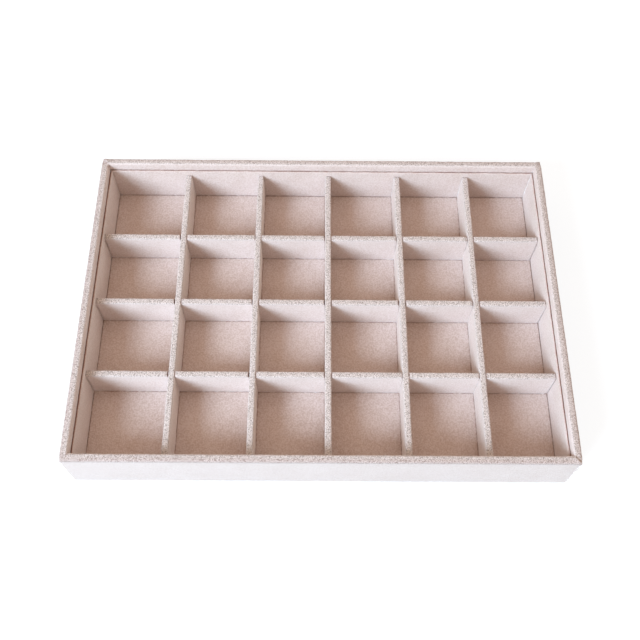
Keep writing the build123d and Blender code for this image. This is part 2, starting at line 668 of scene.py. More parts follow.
@dataclass(frozen=True)
class PressedFinish:
    """Board or card pressed from fibres, raw.

    Attributes:
        name: the material's name.
        light: colour of most fibres.
        dark: colour of the darker ones.
        fleck: colour of the flecks.
        fibre_size: size of the fibres.
        fleck_reach: how large the flecks are in their cells.
        relief: how rough the surface is.
        patch_strength: how much lighter and darker patches change the colour.
    """

    name: str
    light: Colour
    dark: Colour
    fleck: Colour
    fibre_size: float
    fleck_reach: float
    relief: float
    patch_strength: float = 0.6

    def build(self, effects: SharedEffects) -> bpy.types.Material:
        """Makes the material.

        Args:
            effects: the shared node groups.

        Returns:
            The material.
        """
        material, wiring = new_material(self.name)
        place = wiring.add("ShaderNodeTexCoord").outputs["Object"]
        fibres = wiring.group(effects.fibres, Place=place, Size=self.fibre_size,
                              Flecks=self.fleck_reach)
        patches = wiring.group(effects.patches, Place=place, Strength=self.patch_strength)
        share = wiring.math("ADD", fibres.outputs["Fibre"], patches.outputs["Patch"])
        ground = wiring.mixed(share, self.dark, self.light)
        colour = wiring.mixed(fibres.outputs["Fleck"], ground, self.fleck)
        bump = wiring.add("ShaderNodeBump", Strength=0.6, Distance=self.relief,
                          Height=fibres.outputs["Fibre"])
        shader = wiring.add("ShaderNodeBsdfPrincipled", Base_Color=colour, Roughness=0.88,
                            Specular_IOR_Level=0.25, Normal=bump.outputs[0])
        wiring.add("ShaderNodeOutputMaterial", Surface=shader.outputs[0])
        return material


FIBREBOARD = PressedFinish(
    name="raw_fibreboard", light=(0.52, 0.36, 0.22, 1.0), dark=(0.34, 0.21, 0.12, 1.0),
    fleck=(0.24, 0.14, 0.08, 1.0), fibre_size=0.9 * MM, fleck_reach=0.16, relief=0.12 * MM)
GREYBOARD = PressedFinish(
    name="raw_greyboard", light=(0.42, 0.40, 0.37, 1.0), dark=(0.30, 0.28, 0.26, 1.0),
    fleck=(0.16, 0.15, 0.15, 1.0), fibre_size=1.2 * MM, fleck_reach=0.12, relief=0.06 * MM)
VELVET = PileFinish()
# Painted shade: the floor's velvet is the same cloth with more of the roots' colour, darker to
# stand in for the floor taking less light than the walls.
SHADED_FLOOR_VELVET = PileFinish(name="blush_velvet_floor", root_share=0.46)
FELT = PileFinish(
    name="underside_felt", tips=(0.62, 0.50, 0.45, 1.0), roots=(0.46, 0.34, 0.29, 1.0),
    tuft_size=0.8 * MM, root_share=0.6, patch_size=40.0 * MM, patch_strength=0.3,
    relief=0.12 * MM, sheen=0.1)


@dataclass
class OuterWrap(ClothPiece):
    """The strip of velvet round the frame: hem, outside, rim and turn-in.

    Attributes:
        low: lowest corner of the wrap.
        high: highest corner.
        rim: width of the rim.
        seam: height of the seam over the liner.
        hem: width of the hem under the base.
        turn_in: how far the strip goes down inside.
        corner_radius: rounding of the upright corners.
        rim_radius: rounding of the rim's edges.
        hem_radius: rounding of the fold to the hem.
        round_faces: faces across the roundings of corners and rim.
        hem_faces: faces across the rounding of the hem's fold.
        along_step: size of face along the sides.
        fine_step: size of face across the rim.
        upright_step: size of face up the sides and across the hem.
        fold_height: how far one side's velvet laps over the other at a mitre.
        fold_width: width of that step.
        fold_shade: how much shade is painted in the creases along that step.
        creases: how strongly shade is painted in each crease, how far beside the mitre it lies and
            how far it reaches, the last two in widths of the step.
        corner_reach: how far from the corner a fold reaches, in widths of the rim.
        press_depth: how far the pile is pressed in along the seam.
        press_width: half the width of the pressed stripe.
        press_cuts: where the stripe is cut for its faces, in half widths over the seam.
        press_reach: how far the pressing fades out, in half widths.
        seam_shade: how much shade is painted along the seam.
        seam_reach: how far up it is, in half widths of the stripe.
        dash_size: size of the stretches where the seam and the creases show more or less.
        rim_ruffle: how much higher the pile stands on the rim.
        rim_depth: how far down it does outside, in radii of the rim's edges.
        inner_fade: how fast that ends inside.
        side_ruffle: how much the outside ruffles and takes the painted lit tint.
        bend_shade: how much shade is painted over the rim, most at its outer edge.
        pile: how the pile stands.
    """

    low: Vector
    high: Vector
    rim: float
    seam: float
    name: str = "outer_wrap_velvet"
    thickness: float = 0.7 * MM
    hem: float = 14.0 * MM
    turn_in: float = 16.0 * MM
    corner_radius: float = 1.8 * MM
    rim_radius: float = 1.5 * MM
    hem_radius: float = 1.2 * MM
    round_faces: int = 4
    hem_faces: int = 3
    along_step: float = 1.5 * MM
    fine_step: float = 0.55 * MM
    upright_step: float = 2.8 * MM
    fold_height: float = 0.55 * MM
    fold_width: float = 0.40 * MM
    fold_shade: float = 0.55
    creases: tuple[tuple[float, float, float], ...] = ((1.0, -1.0, 1.6), (0.6, 4.0, 1.4))
    corner_reach: float = 2.0
    press_depth: float = 0.15 * MM
    press_width: float = 0.9 * MM
    press_cuts: tuple[float, ...] = (1.0, 0.5, 0.2, -0.3, -1.0)
    press_reach: float = 1.5
    seam_shade: float = 0.5
    seam_reach: float = 0.45
    dash_size: float = 3.0 * MM
    rim_ruffle: float = 0.3
    rim_depth: float = 3.0
    inner_fade: float = 1.5
    side_ruffle: float = 0.35
    bend_shade: float = 0.20
    pile: Pile = Pile()

    def insets(self, place: Vector) -> tuple[float, float]:
        """How far a point lies in from the tray's ends and from its front or back."""
        return self.high.x - abs(place.x), self.high.y - abs(place.y)

    def inside(self, place: Vector, inset: float) -> bool:
        """True for a point further in than an inset from all four sides."""
        return min(self.insets(place)) > inset

    def turned_in(self, place: Vector) -> bool:
        """True for a point of the inner side, with room for an uneven surface."""
        return self.inside(place, self.rim - 2 * self.pile.tuft_height)

    def cut_out(self) -> Cloth:
        """Cuts the strip, rounds its folds and divides it.

        Returns:
            The smooth surface.
        """
        cloth = Cloth(self.low, self.high)
        for inset in (self.rim, self.hem):
            cloth.cut_both(Axis.X, (self.high.x - inset,))
            cloth.cut_both(Axis.Y, (self.high.y - inset,))
        cloth.drop(lambda middle, normal: normal.z > FACING and self.inside(middle, self.rim))
        cloth.drop(lambda middle, normal: normal.z < -FACING and self.inside(middle, self.hem))
        cloth.extend(self.high.z, Vector((0.0, 0.0, -self.turn_in)))
        cloth.round_edges(self.corner_radius, self.round_faces, self.upright_corner)
        cloth.round_edges(self.rim_radius, self.round_faces,
                          lambda edge: self.turns_at(edge, self.high.z))
        cloth.round_edges(self.hem_radius, self.hem_faces,
                          lambda edge: self.turns_at(edge, self.low.z))
        cloth.cut(Axis.Z, [self.seam + share * self.press_width for share in self.press_cuts],
                  self.inner_side)
        cloth.divide(self.step)
        self.divide_corners(cloth)
        return cloth

    def upright_corner(self, edge: bmesh.types.BMEdge) -> bool:
        """Picks the four outer upright edges.

        Args:
            edge: an edge of the wrap.

        Returns:
            True for one of the four.
        """
        one, other = (v.co for v in edge.verts)
        outmost = max(*self.insets(one), *self.insets(other)) < NEARLY_ZERO
        return outmost and abs(one.z - other.z) > self.turn_in

    @staticmethod
    def turns_at(edge: bmesh.types.BMEdge, height: float) -> bool:
        """True for a sharp edge at a height."""
        sharp = len(edge.link_faces) == 2 and edge.calc_face_angle() > SHARP
        return sharp and all(abs(v.co.z - height) < NEARLY_ZERO for v in edge.verts)

    def inner_side(self, middle: Vector, normal: Vector) -> bool:
        """True for an upright face of the turn-in."""
        upright = abs(normal.z) < UPRIGHT and middle.z > self.high.z - self.turn_in
        return upright and self.inside(middle, self.rim - NEARLY_ZERO * 10)

    def divide_corners(self, cloth: Cloth) -> None:
        """Divides the level faces at the rim's corners, which ladders of quads don't reach.

        Args:
            cloth: the surface.
        """
        rows = range(1, int((self.rim - self.rim_radius) / self.fine_step))
        insets = [self.rim - self.rim_radius]
        insets += [self.rim_radius + row * self.fine_step for row in rows]
        for axis in (Axis.X, Axis.Y):
            cloth.cut_both(axis, [self.high[axis.value] - inset for inset in insets],
                           lambda middle, normal: normal.z > LEVEL
                           and max(self.insets(middle)) < self.rim)

    def step(self, axis: Axis, length: float) -> float:
        """The size of face: fine across the rim, coarser along and up the sides.

        Args:
            axis: the direction of the stretch that is divided.
            length: its length.

        Returns:
            The size.
        """
        if length < self.rim:
            return self.fine_step
        return self.upright_step if axis is Axis.Z or length < 2 * self.hem else self.along_step

    def moved(self, place: Vector, normal: Vector) -> Vector:
        """How the pile, the mitre folds and the pressed seam move a point.

        Args:
            place: the point.
            normal: the normal there.

        Returns:
            The step that it takes.
        """
        on_rim = self.on_rim(place)
        rise = self.pile.rise(place) * (1.0 + self.rim_ruffle * on_rim)
        if self.at_corner(place):
            beside = self.beside_fold(place)
            lap = math.tanh(beside / self.fold_width) * near(beside, self.rim)
            rise += on_rim * self.fold_height * lap
        if self.turned_in(place):
            pressed = near(place.z - self.seam, self.press_reach * self.press_width)
            rise -= self.press_depth * pressed
        return normal * rise

    def on_rim(self, place: Vector) -> float:
        """How much a point belongs to the rim, from 0 to 1."""
        return eased(self.rim_depth - (self.high.z - place.z) / self.rim_radius)

    def ruffled_and_lit(self, place: Vector, normal: Vector) -> float:
        """How much the pile ruffles and takes the painted lit tint: most on the rim, a little
        outside, not inside.

        Args:
            place: the point.
            normal: not used.

        Returns:
            The share, from 0 to 1.
        """
        if self.inside(place, self.rim / 2):
            return eased(1.0 - self.inner_fade * (self.high.z - place.z) / self.rim_radius)
        return max(self.on_rim(place), self.side_ruffle)

    def at_corner(self, place: Vector) -> bool:
        """True for a point of the rim near one of its corners."""
        return max(self.insets(place)) < self.corner_reach * self.rim

    def beside_fold(self, place: Vector) -> float:
        """How far a point lies beside the mitre, more than zero towards the long side."""
        from_end, from_long_side = self.insets(place)
        return from_end - from_long_side

    def painted_shade(self, place: Vector, normal: Vector) -> float:
        """How much shade is painted at a point: along the seam, over the rim's outer edge and in a
        mitre fold's creases.

        Args:
            place: the point.
            normal: not used.

        Returns:
            The share, from 0 to 1.
        """
        # Painted shade: darker over the rim towards its outer edge, a broken dark stripe along the
        # seam, and dark creases beside a mitre.
        shown = self.bend_shade * self.on_rim(place) * near(min(self.insets(place)), self.rim)
        if self.turned_in(place):
            stripe = near(max(place.z - self.seam, 0.0), self.seam_reach * self.press_width)
            shown = self.seam_shade * stripe * broken(place, self.dash_size)
        if self.at_corner(place):
            beside = self.beside_fold(place)
            crease = max(strength * near(beside - at * self.fold_width, reach * self.fold_width)
                         for strength, at, reach in self.creases)
            crease *= broken(place, self.dash_size)
            shown = max(shown, self.fold_shade * self.on_rim(place) * crease)
        return shown


@dataclass
class LinerStrip(ClothPiece):
    """A strip of velvet over a card on the inside of a wall, folded over the card's top.

    Attributes:
        side: the side of the tray.
        low: lowest corner of the strip's space.
        high: highest corner.
        floor: height of the tray's floor.
        seam_gap: gap between the folded velvet and the wrap behind it.
        seam_lap: how far the fold's end goes in under the wrap's pile.
        flap: how far the fold goes down behind.
        edge_radius: rounding of the top.
        edge_faces: faces across it.
        along_step: size of face along the strip.
        upright_step: size of face up the strip.
        wave_height: how far the top edge rises and falls.
        wave_sideways: how far it sways, as a share of that.
        wave_size: length of those waves.
        wave_depth: how far down the waves reach.
        wave_fade: the height over which they grow.
        foot_depth: how far the pile lies back at the floor.
        foot_reach: height over which it does.
        foot_cuts: where the foot is cut for its faces, as shares of that height.
        foot_shade: how much shade is painted there.
        foot_line: how much of the foot's height that takes.
        dash_size: size of the stretches where the foot shows more or less.
        pile: how the pile stands.
    """

    side: Side
    low: Vector
    high: Vector
    floor: float
    thickness: float = 0.3 * MM
    seam_gap: float = 0.11 * MM
    seam_lap: float = 0.45 * MM
    flap: float = 0.5 * MM
    edge_radius: float = 0.3 * MM
    edge_faces: int = 3
    along_step: float = 1.3 * MM
    upright_step: float = 1.5 * MM
    wave_height: float = 0.40 * MM
    wave_sideways: float = 0.5
    wave_size: float = 6.0 * MM
    wave_depth: float = 4.8 * MM
    wave_fade: float = 3.2 * MM
    foot_depth: float = 0.15 * MM
    foot_reach: float = 3.0 * MM
    foot_cuts: tuple[float, ...] = (0.0, 0.2, 0.4, 0.7)
    foot_shade: float = 0.38
    foot_line: float = 1.0 / 3.0
    dash_size: float = 2.5 * MM
    pile: Pile = Pile()

    @property
    def name(self) -> str:
        """The piece's name."""
        return f"liner_velvet_sheet_{self.side.word}"

    @property
    def across(self) -> int:
        """The place in a vector of the direction across the wall."""
        return self.side.along.across.value

    @property
    def outward(self) -> Vector:
        """The unit vector to the wall."""
        return self.side.along.across.unit * self.side.sign

    def cut_out(self) -> Cloth:
        """Cuts the strip, folds its top to the wall and divides it.

        Returns:
            The smooth surface.
        """
        low, high = self.low.copy(), self.high.copy()
        outer = high if self.side.sign > 0 else low
        outer[self.across] -= self.side.sign * self.seam_gap
        fold_end = high.z - self.flap
        cloth = Cloth(low, high)
        cloth.leave_strip(self.side.along)
        cloth.round_edges(self.edge_radius, self.edge_faces, lambda edge: not edge.is_boundary)
        cloth.cut(Axis.Z, (fold_end,))
        cloth.drop(lambda middle, normal: middle.z < fold_end
                   and normal[self.across] * self.side.sign > FACING)
        cloth.extend(fold_end, self.outward * (self.seam_gap + self.seam_lap))
        cloth.cut(Axis.Z, [self.floor + self.foot_reach * share for share in self.foot_cuts])
        cloth.divide(lambda axis, length: self.upright_step if axis is Axis.Z else self.along_step)
        return cloth

    def moved(self, place: Vector, normal: Vector) -> Vector:
        """How the pile, the wavy top and the foot move a point.

        Args:
            place: the point.
            normal: the normal there.

        Returns:
            The step that it takes.
        """
        raised = (place.z - self.high.z + self.wave_depth) / self.wave_fade
        height = self.wave_height * eased(raised)
        step = normal * self.pile.rise(place)
        step += Axis.Z.unit * height * noise.noise(place / self.wave_size + WAVE_SHIFT)
        step -= self.outward * self.wave_sideways * height * noise.noise(place / self.wave_size)
        foot = near(max(place.z - self.floor, 0.0), self.foot_reach)
        return step + self.outward * self.foot_depth * foot

    def painted_shade(self, place: Vector, normal: Vector) -> float:
        """How much shade is painted at a point: on the fold's hidden back behind the seam, and at
        the foot.

        Args:
            place: the point.
            normal: the normal there.

        Returns:
            The share, from 0 to 1.
        """
        outward = normal.dot(self.outward)
        face = self.low if self.side.sign > 0 else self.high
        behind = abs(place[self.across] - face[self.across]) > self.edge_radius
        # Painted shade: the fold's back, hidden behind the seam, is painted dark, and a broken dark
        # line runs along the foot.
        if behind and place.z > self.high.z - 2 * self.flap and outward > -FACING:
            return eased(0.5 + outward) if place.z > self.high.z - NEARLY_ZERO else 1.0
        foot = near(max(place.z - self.floor, 0.0), self.foot_line * self.foot_reach)
        return self.foot_shade * foot * broken(place, self.dash_size)


@dataclass
class FloorPad(ClothPiece):
    """The velvet on the floor, pressed down along the liner and under every divider.

    Attributes:
        low: lowest corner of the velvet.
        high: highest corner.
        across_lines: places along X of the dividers that run from front to back.
        along_lines: places along Y of the dividers that run from left to right.
        divider_half: half a divider's thickness.
        groove_depth: how far a divider presses the pile down.
        groove_reach: how far beside a divider the pile leans into the groove.
        groove_cuts: where a groove's side is cut for its faces, as shares of that.
        groove_shade: how much shade is painted along the groove's edges.
        groove_line: how much of the reach that takes.
        dash_size: size of the stretches where that shows more or less.
        face_step: size of face.
        pile: how the pile stands.
    """

    low: Vector
    high: Vector
    across_lines: Sequence[float]
    along_lines: Sequence[float]
    divider_half: float
    name: str = "floor_velvet_sheet"
    thickness: float = 0.45 * MM
    groove_depth: float = 0.10 * MM
    groove_reach: float = 1.3 * MM
    groove_cuts: tuple[float, ...] = (-0.5, 0.0, 0.5, 1.0)
    groove_shade: float = 0.65
    groove_line: float = 0.5
    dash_size: float = 2.5 * MM
    face_step: float = 1.8 * MM
    pile: Pile = Pile(sway_height=0.15 * MM)

    def cut_out(self) -> Cloth:
        """Cuts the pad's velvet and divides it.

        Returns:
            The smooth surface.
        """
        cloth = Cloth(self.low, self.high)
        cloth.drop(lambda middle, normal: normal.z < FACING)
        beside = [self.divider_half + share * self.groove_reach for share in self.groove_cuts]
        for axis, lines in ((Axis.X, self.across_lines), (Axis.Y, self.along_lines)):
            end = self.high[axis.value]
            cloth.cut(axis, [line + sign * step
                             for line in lines for step in beside for sign in (-1, 1)])
            cloth.cut_both(axis, [end - share * self.groove_reach
                                  for share in self.groove_cuts if share > 0.0])
        cloth.divide(lambda axis, length: self.face_step)
        return cloth

    def edge_gap(self, place: Vector) -> float:
        """How far a point lies from the nearest divider or liner, below zero under a divider.

        Args:
            place: the point.

        Returns:
            The distance.
        """
        gaps = [abs(place.x - line) - self.divider_half for line in self.across_lines]
        gaps += [abs(place.y - line) - self.divider_half for line in self.along_lines]
        gaps += [self.high.x - abs(place.x), self.high.y - abs(place.y)]
        return min(gaps)

    def painted_shade(self, place: Vector, normal: Vector) -> float:
        """How much shade is painted at a point: along the edges of the grooves."""
        # Painted shade: broken dark lines where the dividers and the liner meet the floor.
        shown = near(self.edge_gap(place), self.groove_line * self.groove_reach)
        return self.groove_shade * shown * broken(place, self.dash_size)

    def moved(self, place: Vector, normal: Vector) -> Vector:
        """How the pile and the grooves move a point.

        Args:
            place: the point.
            normal: not used.

        Returns:
            The step that it takes.
        """
        pressed = near(max(self.edge_gap(place), 0.0), self.groove_reach)
        rise = (self.pile.rise(place) - self.pile.tuft_height) * (1.0 - pressed)
        return Vector((0.0, 0.0, rise - self.groove_depth * pressed))


class Lap(Enum):
    """Which end of a divider's crossings is cut open."""

    ABOVE = "above"
    BELOW = "below"


@dataclass
class DividerCover(ClothPiece):
    """The velvet folded over a divider's top edge, cut open at its crossings.

    Attributes:
        name: the piece's name.
        along: the direction that the divider runs in.
        low: lowest corner of the velvet.
        high: highest corner.
        crossings: places of the crossing dividers along this one.
        crossing_half: half the thickness of the crossing dividers.
        lap: which end of the crossings is cut open.
        lap_level: the height where the cuts end.
        slot_half: half the width of a cut.
        slot_shift: how far the cuts' middles lie from the crossing dividers' middles.
        openness: how far the mouths of the cuts stand open, on average, from 0 to 1.
        mouth_spread: how much that changes from cut to cut.
        mouth_limits: the least and the most that it can be.
        mouth_pitch: turns of that change in a metre.
        cut_gap: what stays open of a cut below its mouth.
        cut_mouth: how deep the mouth of a cut is.
        cut_shade: how much shade is painted along a cut.
        cut_line: how much of the rounded stretch beside a cut that takes.
        cut_depth: how far down it goes, in depths of the mouth.
        slot_rounding: how far the cloth rounds in beside the mouth of a cut.
        slot_reach: how far from a cut it does.
        slot_depth: how far down it does, in depths of the mouth.
        slot_cuts: where that stretch is cut for its faces, as shares of it.
        top_radius: rounding of the top edges.
        top_faces: faces across it.
        top_reach: how far down the top's ruffles and painted lit tint go, in radii of its edges.
        top_ruffle: how much higher the pile stands there.
        along_step: size of face along the divider.
        upright_step: size of face up its sides.
        end_creep: how far the cloth stands out past the board's ends.
        end_shade: how much shade is painted at the ends, as a share of the foot's.
        end_line: how far from an end that goes, in reaches of the foot.
        foot_depth: how far the sides draw in at the floor.
        foot_reach: height over which they do.
        foot_cuts: where that stretch is cut for its faces, as shares of it.
        foot_shade: how much shade is painted there.
        foot_line: how much of the foot's height that takes.
        dash_size: size of the stretches where that shows more or less.
        side_share: how much the upper part of the sides ruffles and takes the painted lit tint.
        side_reach: how far down that fades out.
        wave_height: how far the cloth swells between crossings.
        wave_size: length of those swells.
        pile: how the pile stands.
    """

    name: str
    along: Axis
    low: Vector
    high: Vector
    crossings: Sequence[float]
    crossing_half: float
    lap: Lap
    lap_level: float
    slot_half: float
    slot_shift: float = 0.0
    thickness: float = 0.7 * MM
    openness: float = 0.25
    mouth_spread: float = 0.6
    mouth_limits: tuple[float, float] = (0.05, 0.7)
    mouth_pitch: float = 90.0
    cut_gap: float = 0.05 * MM
    cut_mouth: float = 1.4 * MM
    cut_shade: float = 0.85
    cut_line: float = 0.3
    cut_depth: float = 1.5
    slot_rounding: float = 0.30 * MM
    slot_reach: float = 1.8 * MM
    slot_depth: float = 3.0
    slot_cuts: tuple[float, ...] = (0.0, 0.25, 0.6, 1.0)
    top_radius: float = 0.9 * MM
    top_faces: int = 4
    top_reach: float = 2.5
    top_ruffle: float = 0.3
    along_step: float = 1.15 * MM
    upright_step: float = 1.5 * MM
    end_creep: float = 0.2 * MM
    end_shade: float = 0.3
    end_line: float = 0.5
    foot_depth: float = 0.12 * MM
    foot_reach: float = 1.4 * MM
    foot_cuts: tuple[float, ...] = (0.35, 0.7, 1.0)
    foot_shade: float = 0.6
    foot_line: float = 0.6
    dash_size: float = 2.5 * MM
    side_share: float = 0.3
    side_reach: float = 16.0 * MM
    wave_height: float = 0.12 * MM
    wave_size: float = 9.0 * MM
    pile: Pile = Pile()

    @property
    def across(self) -> int:
        """The place in a vector of the level direction square to the divider."""
        return self.along.across.value

    @property
    def middle(self) -> float:
        """The divider's middle line, across."""
        return (self.low[self.across] + self.high[self.across]) / 2

    @property
    def ends(self) -> tuple[float, float]:
        """Both ends of the divider, along it."""
        return self.low[self.along.value], self.high[self.along.value]

    @property
    def slots(self) -> list[tuple[float, float]]:
        """Both sides of every cut."""
        middles = [line + self.slot_shift for line in self.crossings]
        return [(middle - self.slot_half, middle + self.slot_half) for middle in middles]

    def opened(self, height: float) -> bool:
        """True for a height at which the crossings are cut open, the cuts' ends included."""
        return height >= self.lap_level if self.lap is Lap.ABOVE else height <= self.lap_level

    def in_slot(self, place: Vector, normal: Vector) -> bool:
        """True for a point inside a cut."""
        run = place[self.along.value]
        return self.opened(place.z) and any(low < run < high for low, high in self.slots)

    def from_cut(self, run: float) -> float:
        """How far a place along the divider lies from the nearest side of a cut."""
        return min(abs(run - edge) for slot in self.slots for edge in slot)

    def cut_out(self) -> Cloth:
        """Cuts the cover and its slots, rounds its top and divides it.

        Returns:
            The smooth surface.
        """
        cloth = Cloth(self.low, self.high)
        cloth.leave_strip(self.along)
        cloth.round_edges(self.top_radius, self.top_faces, lambda edge: not edge.is_boundary)
        beside = [share * self.slot_reach for share in self.slot_cuts]
        for low, high in self.slots:
            cloth.cut(self.along, [low - step for step in beside])
            cloth.cut(self.along, [high + step for step in beside])
        cloth.cut(Axis.Z, (self.lap_level,))
        cloth.cut(Axis.Z, [self.low.z + share * self.foot_reach for share in self.foot_cuts])
        cloth.drop(self.in_slot)
        cloth.divide(lambda axis, length: self.upright_step if axis is Axis.Z else self.along_step)
        return cloth

    def moved(self, place: Vector, normal: Vector) -> Vector:
        """How the pile, the cuts and the foot move a point.

        Args:
            place: the point.
            normal: the normal there.

        Returns:
            The step that it takes.
        """
        run = place[self.along.value]
        swell = noise.noise(place / self.wave_size + SWELL_SHIFT)
        pile = self.pile.rise(place) * (1.0 + self.top_ruffle * self.on_top(place))
        step = normal * (pile + self.wave_height * swell)
        step += self.along.unit * (self.closing(place, run) + self.stretch(run))
        rounding = self.slot_rounding * self.beside_mouth(place, run)
        inward = self.foot_depth * near(place.z - self.low.z, self.foot_reach)
        inward += rounding * (1.0 - abs(normal.z))
        half = (self.high[self.across] - self.low[self.across]) / 2
        beside = min(max((place[self.across] - self.middle) / half, -1.0), 1.0)
        step -= self.along.across.unit * inward * beside
        step.z -= rounding * max(normal.z, 0.0)
        return step

    def stretch(self, run: float) -> float:
        """How far a point near an end goes out along the divider.

        Args:
            run: its place along the divider.

        Returns:
            The distance, with its sign.
        """
        low, high = self.ends
        out = near(high - run, self.slot_reach) - near(run - low, self.slot_reach)
        return self.end_creep * out

    def closing(self, place: Vector, run: float) -> float:
        """How far the cloth beside a cut has crept along the divider to close the cut.

        Args:
            place: a point of the cloth.
            run: its place along the divider.

        Returns:
            The distance, with its sign.
        """
        if not self.opened(place.z):
            return 0.0
        low, high = min(self.slots, key=lambda slot: min(abs(run - end) for end in slot))
        line = (low + high) / 2 - self.slot_shift
        left = run < line
        gap = line - self.crossing_half - low if left else high - line - self.crossing_half
        beside = low - run if left else run - high
        shut = (1.0 - self.mouth(line, place)) * near(beside, self.slot_reach)
        crept = max(gap - self.cut_gap, 0.0) * shut
        return crept if left else -crept

    def mouth(self, line: float, place: Vector) -> float:
        """How far a cut stands open at a point's height, each cut its own way.

        Args:
            line: the place of the crossing along the divider.
            place: a point beside the cut.

        Returns:
            The share, from 0 to 1.
        """
        if self.lap is Lap.BELOW:
            return 0.0
        spread = noise.noise(Vector((line, self.middle, 0.0)) * self.mouth_pitch)
        least, most = self.mouth_limits
        own = min(max(self.openness + self.mouth_spread * spread, least), most)
        return own * near(self.high.z - place.z, self.cut_mouth)

    def beside_mouth(self, place: Vector, run: float) -> float:
        """How strongly a point is beside the mouth of a cut that opens above.

        Args:
            place: a point of the cloth.
            run: its place along the divider.

        Returns:
            The share, from 0 to 1.
        """
        if self.lap is Lap.BELOW:
            return 0.0
        beside = (1.0 - min(self.from_cut(run) / self.slot_reach, 1.0)) ** 2
        return beside * near(self.high.z - place.z, self.slot_depth * self.cut_mouth)

    def on_top(self, place: Vector) -> float:
        """How much a point belongs to the divider's top, from 0 to 1."""
        return near(self.high.z - place.z, self.top_reach * self.top_radius)

    def ruffled_and_lit(self, place: Vector, normal: Vector) -> float:
        """How much the pile ruffles and takes the painted lit tint: most on the top, less down the
        sides.
        """
        side = self.side_share * near(self.high.z - place.z, self.side_reach)
        return max(self.on_top(place), side)

    def painted_shade(self, place: Vector, normal: Vector) -> float:
        """How much shade is painted at a point: at the foot, the ends and the cuts.

        Args:
            place: the point.
            normal: not used.

        Returns:
            The share, from 0 to 1.
        """
        run = place[self.along.value]
        # Painted shade: a broken dark line at the foot, darker ends below the top, and dark lines
        # along the cuts' mouths.
        foot = near(place.z - self.low.z, self.foot_line * self.foot_reach)
        foot *= broken(place, self.dash_size)
        from_end = min(abs(run - end) for end in self.ends)
        end = self.end_shade * near(from_end, self.end_line * self.foot_reach)
        shown = self.foot_shade * max(foot, end * (1.0 - self.on_top(place)))
        if self.lap is Lap.ABOVE:
            mouth = near(self.high.z - place.z, self.cut_depth * self.cut_mouth)
            cut = mouth * near(self.from_cut(run), self.cut_line * self.slot_reach)
            shown = max(shown, self.cut_shade * cut)
        return shown


@dataclass
class UndersideCloth(ClothPiece):
    """The thin cloth under the tray, which steps up inside the hem.

    Attributes:
        low: lowest corner of the cloth.
        high: highest corner.
        hem: width of the hem that it lies on, in from the tray's outside.
        margin: how far the cloth itself lies in from the tray's outside.
        step_width: how wide its step is.
        step_cuts: where the step is cut for its faces, as shares of that.
        face_step: size of face.
        pile: how its surface rises and falls.
    """

    low: Vector
    high: Vector
    name: str = "underside_cloth_sheet"
    thickness: float = 0.5 * MM
    hem: float = 14.0 * MM
    margin: float = 3.0 * MM
    step_width: float = 1.6 * MM
    step_cuts: tuple[float, ...] = (0.0, -0.33, -0.66, -1.0)
    face_step: float = 3.0 * MM
    pile: Pile = Pile(tuft_height=0.02 * MM, sway_height=0.08 * MM, sway_size=30.0 * MM)

    def cut_out(self) -> Cloth:
        """Cuts the cloth and divides it.

        Returns:
            The smooth surface.
        """
        cloth = Cloth(self.low, self.high)
        cloth.drop(lambda middle, normal: normal.z > -FACING)
        for axis in (Axis.X, Axis.Y):
            inner = self.high[axis.value] + self.margin - self.hem
            cloth.cut_both(axis, [inner + share * self.step_width for share in self.step_cuts])
        cloth.divide(lambda axis, length: self.face_step)
        return cloth

    def moved(self, place: Vector, normal: Vector) -> Vector:
        """How the step and the surface's unevenness move a point.

        Args:
            place: the point.
            normal: not used.

        Returns:
            The step that it takes.
        """
        inset = min(self.high.x - abs(place.x), self.high.y - abs(place.y)) + self.margin
        stepped = eased((inset - self.hem) / self.step_width)
        rise = (self.high.z - self.low.z - self.thickness - 2 * self.pile.sway_height) * stepped
        flat = max(self.pile.rise(place) * stepped, 0.0)
        return Vector((0.0, 0.0, rise + flat))


def middle_of(node: str, axis: Axis) -> float:
    """The middle of a node along a direction."""
    low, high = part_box(node)
    return (low[axis.value] + high[axis.value]) / 2


